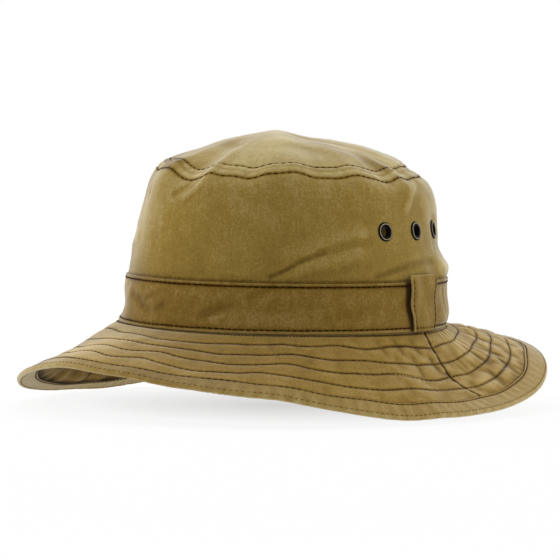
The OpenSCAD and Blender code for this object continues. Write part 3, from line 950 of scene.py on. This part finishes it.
def crest_wear(lie, times, size):
    """Wear from -1 in the hollows to 1 on the crests: how far the cloth stands off its own
    average, in units of size. The average is mixed from neighbouring points a number of times."""
    mean = lie
    for _ in range(times):
        e = np.pad(mean, ((1, 1), (0, 0)), "edge")
        mean = (e[:-2] + e[2:] + 2 * mean) / 4
        e = np.pad(mean, ((0, 0), (1, 1)), "edge")
        mean = (e[:, :-2] + e[:, 2:] + 2 * mean) / 4
    return np.tanh((lie - mean) / size)


def make_crown_side():
    """Strip closed at the back, open at the vents. It is worn beside the tip seam, and has painted
    shade at the stitches, over the band and in the creases, and painted highlights and shade in spots."""
    a = strip(BACK + SLIT, BACK + 360 - SLIT, ROUND)
    z = np.concatenate([np.linspace(-SEAM_ALLOWANCE, FOOT_H, 13)[:-1],
                        np.linspace(FOOT_H, SIDE_H - SEAM_OPEN, 58)])[None]
    lie = side_lie(a, z)
    a_mid, z_mid = (a[1:] + a[:-1]) / 2, (z[:, 1:] + z[:, :-1]) / 2
    keep = np.ones((a_mid.size, z_mid.size), bool)
    for angle, _, _ in VENTS:
        keep &= from_vent(a_mid, z_mid, angle) > HOLE_R
    below, over = SIDE_H - z - TOPSTITCH, z - BAND_H
    # Crest wear, with painted highlights and shade in spots and painted shade in the creases
    wear = 0.35 * crest_wear(lie, 14, 0.16) + spots(SIDE_PAINTED_LIGHT, a, z) + side_folds(SIDE_CREASE_SHADE, a, z)
    # Worn pale beside the tip seam, with painted shade in the stitch groove
    wear = wear + 0.6 * np.exp(-above(below) / 4.5) - 1.2 * hump(below / TOPSTITCH_W)
    # Painted shade darkening the crown towards the band, and a painted shadow line just above the band's edge
    wear = wear - 0.55 * np.exp(-above(over) / 12) - 1.0 * hump((over - 0.5) / 0.9)
    cloth_piece("crown_side", [side(a, z, lie), side(a, z, lie - CLOTH)], wear, CANVAS, "canvas",
                (0.60, 0.10), 0.0505, ["brim_top_front", "brim_top_rear"], keep=keep)


def make_crown_tip():
    """The square grid goes to the disc by the elliptical map: each of x and y is shortened by the
    root of one less half the square of the other."""
    t = np.linspace(-1, 1, 113)
    u, v = np.meshgrid(t, t, indexing="ij")
    x, y = u * np.sqrt(1 - v * v / 2), v * np.sqrt(1 - u * u / 2)
    rho, a = np.hypot(x, y) * (1 - SEAM_OPEN / TIP_HALF), np.degrees(np.arctan2(x, -y))
    lie, row = tip_lie(a, rho), (1 - rho) * TIP_HALF - TOPSTITCH
    outer = tip(a, rho, lie)
    # The tip is paler all over, partly sun-fade and partly painted light from above; painted shade at the
    # stitch row
    wear = 0.44 + 0.35 * crest_wear(lie, 14, 0.2) - 1.1 * hump(row / TOPSTITCH_W)
    # Painted highlights and painted shade along the tip's folds
    wear = wear + folds(TIP_PAINTED_LIGHT, *tip_place(a, rho))
    cloth_piece("crown_tip", [outer, tip(a, rho, lie - CLOTH)], wear, CANVAS, "canvas",
                (0.142, 0.158), 0.0174, ["crown_side"], uv=outer[..., :2])


def make_seam_tapes():
    """Tape inside the tip seam, half of it on the tip and half on the side, and tape up the back."""
    a = strip(0, 360, ROUND)[:-1]
    t = np.linspace(-1, 1, 17)[None]
    half, faces = TAPE_W / 2, (LINING_H, LINING_H - TAPE_T)
    low, up = SIDE_H + half * np.minimum(t, 0), 1 - half * np.maximum(t, 0) / TIP_HALF
    skins = [np.where((t > 0)[..., None], tip(a, up, tip_lie(a, up) + h), side(a, low, side_lie(a, low) + h))
             for h in faces]
    wear = 0.3 * ripples(a, t, 71, 20, 60, 1.0) - 0.4 * hump((np.abs(t) - 0.8) / 0.08)
    cloth_piece("tip_seam_tape", skins, wear, TAPE_CLOTH, "seam_tape",
                (0.47, 0.014), None, ["crown_side", "crown_tip"], ring=True)
    span = np.degrees(half / HALF_W)
    a = strip(BACK - span, BACK + span, 13)
    z = np.linspace(SWEAT_H + LAYER_GAP, SIDE_H - half - 2 * TAPE_T, 41)[None]
    skins = [side(a, z, side_lie(a, z) + h) for h in faces]
    cloth_piece("back_seam_tape", skins, 0.3 * ripples(a * 20, z / 8, 72, 2, 9, 1.0), TAPE_CLOTH, "seam_tape",
                (0.014, 0.0505), None, ["crown_side"])


def make_sweatband():
    """Strip inside the foot that bulges inwards in waves between its edges."""
    a = strip(BACK + SLIT, BACK + 360 - SLIT, 361)
    z = np.linspace(-SEAM_ALLOWANCE, SWEAT_H, 25)[None]
    edge = np.minimum(z + SEAM_ALLOWANCE, SWEAT_H - z)
    lie = -0.22 * (1.6 + np.clip(ripples(a, z / 12, 73, 8, 40, 1.0), -1.6, 1.6)) * smooth(edge / 6)
    dent = np.minimum(foot_lie(a, z), 0)
    skins = [side(a, z, dent + lie + h) for h in (LINING_H, LINING_H - SWEAT_T)]
    wear = 0.4 * crest_wear(-lie, 8, 0.2) - 0.6 * hump((SWEAT_H - 2 - z) / 0.7)
    cloth_piece("sweatband", skins, wear, SWEAT_CLOTH, "sweatband_cloth", (0.59, 0.036), None, ["crown_side"])


def make_hat_band():
    """Strip with rolled edges, pinched at its two rows of stitches. Its ends meet under the tab,
    which shades it in front."""
    a = strip(TAB_ANGLE + SLIT, TAB_ANGLE + 360 - SLIT, ROUND)
    z = LAYER_GAP + np.concatenate([BAND_STEPS, np.linspace(4, 23.4, 19),
                                    BAND_H - LAYER_GAP - BAND_STEPS[::-1]])[None]
    edge = np.minimum(z - LAYER_GAP, BAND_H - z)
    lie = band_lie(a, z)
    half = BAND_T / 2 * rolled(edge, EDGE_ROUND)
    middle = LAYER_GAP + BAND_T / 2 + lie
    skins = [side(a, z, middle + half - 0.22 * hump((edge - BAND_ROW) / 0.6)), side(a, z, middle - half)]
    upper = z > BAND_H / 2
    # Crest wear, with painted highlights and shade in spots and along the creases
    wear = 0.3 * crest_wear(lie, 12, 0.16) + spots(BAND_PAINTED_LIGHT, a, z) + side_folds(BAND_CREASE_SHADING, a, z)
    # Painted shade at the rows of stitches, and painted highlights on the puffed strips beside the edges
    wear = wear - np.where(upper, 1.7, 1.1) * hump((edge - BAND_ROW) / 0.75)
    wear = wear + np.where(upper, 0.15, 0.5) * (edge < BAND_ROW - 0.5)
    # Painted shadow of the tab on the band in front of its front edge
    wear = wear - 2.6 * hump((arc(a, TAB_ANGLE, HALF_L) - tab_edges(z)[0] - 0.3) / 2.2)
    cloth_piece("hat_band", skins, wear, BAND_CANVAS, "band_canvas", (0.60, 0.0275), None, ["crown_side"])


def make_band_tab():
    """Folded strip with rolled edges, pinched along the rows beside them."""
    last = EDGE_STEPS[-1]
    z = np.concatenate([np.linspace(LAYER_GAP, TAB_TOP - 1.4, 34), TAB_TOP - EDGE_STEPS[::-1]])[None]
    front, rear = tab_edges(z)
    t = np.linspace(0, 1, 32)[:, None]
    x = np.concatenate([front + EDGE_STEPS[:-1, None], front + last + t * (rear - front - 2 * last),
                        rear - EDGE_STEPS[-2::-1, None]])
    side_edge, top_edge = np.minimum(x - front, rear - x), TAB_TOP - z
    row = hump((side_edge - TAB_ROW) / 0.6) * smooth((top_edge - 1) / 2)
    half = TAB_T / 2 * rolled(side_edge, TAB_ROUND) * rolled(top_edge, TAB_ROUND)
    middle = tab_lie(x, z)
    skins = [tab_point(x, z, middle + half - 0.25 * row), tab_point(x, z, middle - half)]
    foot_row = hump((z - BAND_ROW - LAYER_GAP) / 0.6)
    # Painted shade at the rows of stitches and along the rear edge; the pale front edge is partly edge wear
    # and partly painted highlight
    wear = 0.15 * np.sin(x / 3 + z / 5) - 0.8 * row - 0.7 * foot_row + 0.5 * hump(top_edge / 0.8)
    wear = wear + 1.1 * hump((x - front) / 0.9) - 0.8 * hump((rear - x - 1.6) / 0.8)
    cloth_piece("band_tab", skins, wear, TAB_CANVAS, "band_canvas", (0.028, 0.032), None, ["hat_band"])


def make_brim():
    """Upper, lower and middle layer of both halves. The faces are worn on the crests of their
    tucks and have painted shade at the rows, the seams and the join, the upper face painted
    highlights and shade in spots and the lower face a painted shadow beside the binding, and the
    middle layer is pressed thin at the rows."""
    s_fine = np.concatenate([np.linspace(0, BINDING_S, 66), np.linspace(BINDING_S, FOLD_S, 7)[1:]])[None]
    s_plain = np.concatenate([np.linspace(0, BINDING_S, 41), [FOLD_S]])[None]
    cut = (0.31, 0.16), 0.0245
    for half, start in (("front", -90.0), ("rear", 90.0)):
        inlay = f"brim_stiffener_{half}"
        a = beside_seams(strip(start + SLIT, start + 180 - SLIT, 361), s_fine)
        _, _, pinch, groove = brim_lie(a, s_fine)
        # Painted shadow in the groove of the join, weaker where the join lies smooth; painted shade at the
        # rows and seams
        painted_join_shadow = 2.6 - 2.2 * hump(turned(a, SMOOTH_JOIN) / 16)
        marks = -0.5 * pinch - 1.5 * groove - painted_join_shadow * hump(s_fine / 1.5)
        lie = top_face(a, s_fine)
        # Crest wear, with painted highlights and shade in spots
        wear = 1.1 * crest_wear(lie, 9, 0.2) + marks + spots(BRIM_PAINTED_LIGHT, a, s_fine)
        skins = [brim(a, s_fine, lie), brim(a, s_fine, lie - BRIM_CLOTH)]
        cloth_piece(f"brim_top_{half}", skins, wear, BRIM_CANVAS, "canvas", *cut, [inlay])
        lie = under_face(a, s_fine)
        wear = 1.1 * crest_wear(-lie, 9, 0.2) + marks + 0.9 * groove
        # Painted shadow of the binding's edge on the lower face
        wear = wear - 2.2 * hump((brim_row(ROW_COUNT + 1, a) - s_fine - 1.6) / 2.4)
        skins = [brim(a, s_fine, lie), brim(a, s_fine, lie + BRIM_CLOTH)]
        cloth_piece(f"brim_under_{half}", skins, wear, UNDER_CANVAS, "under_canvas", *cut, [inlay])
        a = beside_seams(strip(start + INLAY_GAP, start + 180 - INLAY_GAP, 181), s_plain)
        common, _, pinch, _ = brim_lie(a, s_plain)
        middle, thick = common - STACK_T / 2, STIFFENER_T / 2 * (1 - 0.65 * np.clip(pinch, 0, 1))
        skins = [brim(a, s_plain, middle + thick), brim(a, s_plain, middle - thick)]
        cloth_piece(inlay, skins, 0 * common, STIFFENER, "stiffener", *cut, [f"brim_under_{half}"])


def binding_section(r):
    """One skin of the folded tape as (s, depth): flat on the upper face, round the fold at a
    radius and flat on the lower face."""
    flat = np.linspace(BINDING_S, FOLD_S, 12)[:-1]
    turn = np.linspace(90, -90, 15)
    s = np.concatenate([flat, FOLD_S + r * cos(turn), flat[::-1]])
    return s[None], np.concatenate([0 * flat + r, r * sin(turn), 0 * flat - r])[None]


def make_binding():
    """Folded tape carried round the brim's edge, kept off the floor. It is worn at its fold, painted
    lighter on its lower face as painted light, and has painted shade at its stitches and painted
    highlights and shade in spots."""
    a = strip(0, 360, 601)[:-1]
    skins = []
    for r in (FOLD_R, FOLD_R - BINDING_T):
        s, h = binding_section(r)
        way = np.clip(h / (FOLD_R - BINDING_T), -1, 1)
        skin = brim(a, np.minimum(binding_s(a, s), FOLD_S), h - STACK_T / 2 + binding_lie(a, s, way))
        push = brim(a, FOLD_S, 0) - brim(a, FOLD_S - 1, 0)
        skin = skin + np.maximum(s - FOLD_S, 0)[..., None] * push
        skin[..., 2] = np.maximum(skin[..., 2], -JOIN[2])
        skins.append(skin)
    s, h = binding_section(FOLD_R)
    wear = 0.12 * binding_puckers(a, s) + 0.5 * hump((s - BRIM_W) / 1.6)
    # Painted shade at the rows of stitches
    wear = wear - 1.3 * hump((s - BINDING_ROW) / 0.7) - 0.3 * hump((s - RIM_ROW) / 0.6)
    # The lower face is painted lighter as painted light from below; painted highlights and shade in spots
    wear = wear + 0.25 * hump((s - BINDING_S) / 0.5) + 0.6 * (h < 0) + spots(BINDING_PAINTED_LIGHT, a, s)
    cloth_piece("brim_binding", skins, wear, BINDING_CANVAS, "binding_canvas",
                (0.93, 0.0275), None, ["brim_top_front", "brim_top_rear"], ring=True)


BARREL_TOP, ROLL_ROUND, CREST_ANGLE, CREST_WIDTH = -0.6, 0.25, 76.0, 9.0


def make_vents():
    """Each eyelet is one profile turned about the vent's axis: a rounded flange, the barrel and
    its end rolled over the washer."""
    turn, bend = np.linspace(0, 180, 21), np.linspace(0, 180, 9)
    flange = np.stack([(EYELET_R + BORE_R) / 2 + (EYELET_R - BORE_R) / 2 * cos(turn),
                       LAYER_GAP + FLANGE_H * sin(turn)], -1)
    roll_z = -CLOTH - CURVE_ROOM - WASHER_T - WASHER_GAP
    barrel_r = BORE_R + BARREL_T
    roll = np.stack([barrel_r + ROLL_ROUND + (ROLL_W - ROLL_ROUND) * sin(bend),
                     roll_z - ROLL_T / 2 - ROLL_T / 2 * cos(bend)], -1)
    barrel = [[BORE_R, BARREL_TOP], [BORE_R, roll_z - ROLL_ROUND], [BORE_R + ROLL_ROUND, roll_z - ROLL_T]]
    profile = np.concatenate([flange, barrel, roll[1:], [[barrel_r, roll_z]]])
    crest = np.concatenate([hump((turn - CREST_ANGLE) / CREST_WIDTH), np.zeros(len(profile) - len(flange))])
    spin = np.linspace(0, 360, 65)[:-1]
    n, m = len(spin), len(profile)
    i, j = cells(n, m)
    next_i, next_j = (i + 1) % n, (j + 1) % m
    quads = np.stack([i * m + j, next_i * m + j, next_i * m + next_j, i * m + next_j], -1).tolist()
    for angle, name, sink in VENTS:
        a = np.array(angle)
        axis = unit(side(a, VENT_H, 1.0) - side(a, VENT_H, 0.0))
        level = unit(np.cross(UP, axis))
        spoke = cos(spin)[:, None, None] * level + sin(spin)[:, None, None] * np.cross(axis, level)
        points = side(a, VENT_H, -sink) + profile[None, :, :1] * spoke + profile[None, :, 1:] * axis
        piece = finished(f"vent_eyelet_{name}", points, quads, ENAMEL, "eyelet_metal",
                         crest=np.tile(crest, n))
        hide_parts(f"eyelet_{name}")
        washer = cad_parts[f"washer_{name}"].data.materials
        washer.clear()
        washer.append(ENAMEL)


# Threads as (stitch, gap, width), and the last stitches of a row that was sewn again in paler thread
BRIM_THREAD, TAIL_THREAD, JOIN_THREAD = (2.4, 1.2, 0.58), (1.6, 0.8, 0.6), (1.1, 0.9, 0.5)
BINDING_THREAD, RIM_THREAD, TIP_THREAD = (3.0, 0.5, 0.6), (2.0, 1.2, 0.5), (3.1, 0.7, 0.72)
BAND_THREAD, TAB_THREAD, TAB_FOOT_THREAD = (3.0, 0.6, 0.68), (2.3, 0.8, 0.5), (2.4, 0.8, 0.5)
TAIL_AT, TAIL_A = (0, 0.45, 0.6, 0.8, 1), (62, 69.5, 71.2, 73, 75)
TAIL_S = (30.6, 31.8, 35, 40, 42.5)
# Height of the threads over the cloth, the row at the join, and the tab's rows up its edges and
# across its foot
THREAD_LIFT, JOIN_ROW = 0.1, 2.0
TAB_ROW_UP, TAB_FOOT_ROW = (1.0, TAB_TOP - 2.2), (-11.5, 10.5)


def sewn(surface, a, v, h, thread, way=1):
    """Row of stitches along a surface: its points, the directions off it, and the thread."""
    a, v = spread(a, v)
    line = surface(a, v, h)
    return line, way * (surface(a, v, h + 1) - line), *thread


def make_stitching():
    """Rows of thread on the brim's faces, its binding, the tip seam, the join, the band and the tab."""
    a = np.linspace(0, 360, ROUND_ROW)
    rows = []
    for k in range(1, ROW_COUNT + 1):
        s = brim_row(k, a)
        rows.append(sewn(brim, a, s, top_face(a, s) + THREAD_LIFT, BRIM_THREAD))
        rows.append(sewn(brim, a, s, under_face(a, s) - THREAD_LIFT, BRIM_THREAD, -1))
    stitches("brim_stitching", rows, THREAD, "canvas")
    tail = np.linspace(0, 1, 60)
    tail_a, tail_s = np.interp(tail, TAIL_AT, TAIL_A), np.interp(tail, TAIL_AT, TAIL_S)
    row = sewn(brim, tail_a, tail_s, top_face(tail_a, tail_s) + 0.15, TAIL_THREAD)
    stitches("restart_stitching", [row], PALE_THREAD, "canvas")

    s = BINDING_ROW + 0.15 * ripples(a, 0, 62, 8, 30, 0)
    s_rim = RIM_ROW + 0.2 * ripples(a, 0, 63, 6, 26, 0)
    rows, rim = [], []
    for way in (1, -1):
        face = way * FOLD_R - STACK_T / 2
        h, h_rim = face + binding_lie(a, s, way), face + binding_lie(a, s_rim, way)
        rows.append(sewn(brim, a, binding_s(a, s), h + way * THREAD_LIFT, BINDING_THREAD, way))
        rim.append(sewn(brim, a, s_rim, h_rim + way * THREAD_LIFT / 2, RIM_THREAD, way))
    stitches("binding_stitching", rows, THREAD, "binding_canvas")
    stitches("rim_stitching", rim, TAN_THREAD, "binding_canvas")

    below, rho = SIDE_H - TOPSTITCH + 0 * a, 1 - TOPSTITCH / TIP_HALF + 0 * a
    rows = [sewn(side, a, below, side_lie(a, below) + THREAD_LIFT, TIP_THREAD),
            sewn(tip, a, rho, tip_lie(a, rho) + THREAD_LIFT, TIP_THREAD)]
    stitches("tip_seam_stitching", rows, THREAD, "canvas")
    row = sewn(brim, a, JOIN_ROW, top_face(a, JOIN_ROW) + 0.08, JOIN_THREAD)
    stitches("join_stitching", [row], THREAD, "canvas")

    half_tab = np.degrees(TAB_W / 2 / HALF_L)
    a = np.linspace(TAB_ANGLE + half_tab, TAB_ANGLE + 360 - half_tab, ROUND_ROW)
    rows = []
    for level, seed in ((LAYER_GAP + BAND_ROW, 85), (BAND_H - BAND_ROW, 108)):
        z = level + 0.12 * ripples(a, 0, seed, 6, 24, 0)
        rows.append(sewn(side, a, z, LAYER_GAP + BAND_T + band_lie(a, z) - 0.12, BAND_THREAD))
    stitches("band_stitching", rows, DARK_THREAD, "band_canvas")

    z = np.linspace(*TAB_ROW_UP, 200)
    front, rear = tab_edges(z)
    rows = [sewn(tab_point, x, z, tab_lie(x, z) + TAB_T / 2 - 0.15, TAB_THREAD)
            for x in (front + TAB_ROW, rear - TAB_ROW)]
    x = np.linspace(*TAB_FOOT_ROW, 100)
    z = LAYER_GAP + BAND_ROW + 0 * x
    rows.append(sewn(tab_point, x, z, tab_lie(x, z) + TAB_T / 2 + 0.02, TAB_FOOT_THREAD))
    stitches("tab_stitching", rows, THREAD, "band_canvas")


# Stage, light and camera

# Lamps as (name, metres to the camera's right, towards it and up, size, watts), all turned to the hat
LAMPS = (("left_window", -1.7, -0.1, 0.9, 1.6, 22.0), ("right_window", 1.7, 0.0, 0.8, 1.6, 16.0),
         ("overhead", 0.0, -0.5, 2.0, 2.0, 25.0), ("front_fill", 0.2, 2.6, 0.9, 1.6, 13.0),
         ("back_left", -1.5, -1.3, 0.7, 1.4, 10.0), ("back_right", 1.5, -1.3, 0.7, 1.4, 8.0),
         ("back_top", 0.0, -1.9, 1.4, 1.8, 16.0), ("low_fill", -0.8, 2.0, 0.25, 1.0, 1.5))
LAMPS_AT = np.array([0, 0, 0.07])
WORLD_LEVEL = 0.06
# Floor in metres, and shares of its own light: how white it looks near the hat, how much of that it
# loses under the crown as a painted shadow, and how it glows as a lit table does, most of all under the
# brim's edge
FLOOR_R, FLOOR_DROP, FLOOR_CLEAR, CROWN_R, RIM_R, RIM_W = 4.0, 0.0002, 0.9, 0.12, 0.13, 0.05
NEAR_WHITE, CROWN_DIM, FLOOR_GLOW, RIM_GLOW, FLOOR_GREY = 0.9, 0.3, 0.14, 0.45, 0.86
WHITE = (1, 1, 1, 1)


def stand(name, data, place, *axes):
    """Camera or lamp at a place in metres, with its right, up and back directions."""
    thing = bpy.data.objects.new(name, data)
    matrix = np.eye(4)
    matrix[:3] = np.stack([*axes, place], -1)
    thing.matrix_world = Matrix(matrix.tolist())
    bpy.context.scene.collection.objects.link(thing)
    return thing


RIGHT = np.array([cos(CAM_AZIMUTH), sin(CAM_AZIMUTH), 0])
AHEAD = np.array([sin(CAM_AZIMUTH), -cos(CAM_AZIMUTH), 0])


def make_camera():
    """Camera on its own axis, turned about it by its roll."""
    back = cos(CAM_ELEVATION) * AHEAD + sin(CAM_ELEVATION) * UP
    up = np.cross(back, RIGHT)
    data = bpy.data.cameras.new("camera")
    data.lens, data.sensor_width, data.sensor_fit = CAM_LENS, SENSOR, "HORIZONTAL"
    data.clip_end = CAM_FAR
    place = (JOIN + CAM_RISE * UP + CAM_SIDE * RIGHT + CAM_DISTANCE * back) * MM
    bpy.context.scene.camera = stand("camera", data, place, RIGHT * cos(CAM_ROLL) + up * sin(CAM_ROLL),
                                     up * cos(CAM_ROLL) - RIGHT * sin(CAM_ROLL), back)


def make_lights():
    """Square lamps round the hat."""
    for name, x, y, z, size, watts in LAMPS:
        data = bpy.data.lights.new(name, "AREA")
        data.energy, data.size = watts, size
        place = x * RIGHT + y * AHEAD + z * UP
        toward = unit(place - LAMPS_AT)
        level = unit(np.cross(UP, toward))
        stand(name, data, place, level, np.cross(toward, level), toward)


def seen(tree):
    """1 for camera, glossy and transmission rays, 0 for the rest."""
    path = tree.nodes.new("ShaderNodeLightPath").outputs
    either = maths(tree, "MAXIMUM", path["Is Camera Ray"], path["Is Glossy Ray"])
    return maths(tree, "MAXIMUM", either, path["Is Transmission Ray"])


def make_world():
    """White where it is seen, and a faint even light on the hat."""
    world = bpy.data.worlds.new("white_studio")
    world.use_nodes = True
    tree = world.node_tree
    add, _, times, _ = sums(tree)
    level = add(WORLD_LEVEL, times(seen(tree), 1 - WORLD_LEVEL))
    connect(tree, tree.nodes["Background"], Color=WHITE, Strength=level)
    bpy.context.scene.world = world


def make_floor():
    """Round floor whose white runs out into the background, with the hat's shadow on it. It has a
    painted shadow that makes it a little darker under the crown, and glows under the brim's edge."""
    spin = np.linspace(0, 360, 97)[:-1]
    points = np.stack([FLOOR_R * cos(spin), FLOOR_R * sin(spin), 0 * spin - FLOOR_DROP], -1)
    mesh = bpy.data.meshes.new("floor")
    mesh.from_pydata(points.tolist(), [], [list(range(len(spin)))])
    material, tree, bsdf = shader("pale_floor")
    tree.nodes.remove(bsdf)
    add, take, times, _ = sums(tree)
    plain = value_node(tree, "ShaderNodeBsdfDiffuse", Color=(FLOOR_GREY, FLOOR_GREY, FLOOR_GREY, 1))
    white = value_node(tree, "ShaderNodeEmission", Color=WHITE, Strength=1.0)
    distance = vector_sum(tree, "LENGTH", own_place(tree)).outputs["Value"]

    def reach(length, limit):
        """Length as a share of a limit, 1 beyond it."""
        return maths(tree, "DIVIDE", length, limit, True)

    clear = add(NEAR_WHITE, times(reach(distance, FLOOR_CLEAR), 1 - NEAR_WHITE))
    # Painted shadow: the floor seen is a little darker under the crown
    painted_shadow = times(take(1.0, reach(distance, CROWN_R)), CROWN_DIM)
    off_rim = maths(tree, "ABSOLUTE", take(distance, RIM_R))
    glow = add(FLOOR_GLOW, times(take(1.0, reach(off_rim, RIM_W)), RIM_GLOW))
    share = maths(tree, "MAXIMUM", times(seen(tree), times(clear, take(1.0, painted_shadow))), glow)
    mixed = value_node(tree, "ShaderNodeMixShader", i0=share, i1=plain.outputs[0], i2=white.outputs[0])
    connect(tree, tree.nodes["Material Output"], Surface=mixed.outputs[0])
    mesh.materials.append(material)
    floor = bpy.data.objects.new("floor", mesh)
    bpy.context.scene.collection.objects.link(floor)


for make in (make_camera, make_crown_side, make_crown_tip, make_seam_tapes, make_sweatband, make_hat_band,
             make_band_tab, make_brim, make_binding, make_vents, make_stitching, make_lights, make_world,
             make_floor):
    make()
bpy.context.scene.view_settings.view_transform = "Standard"
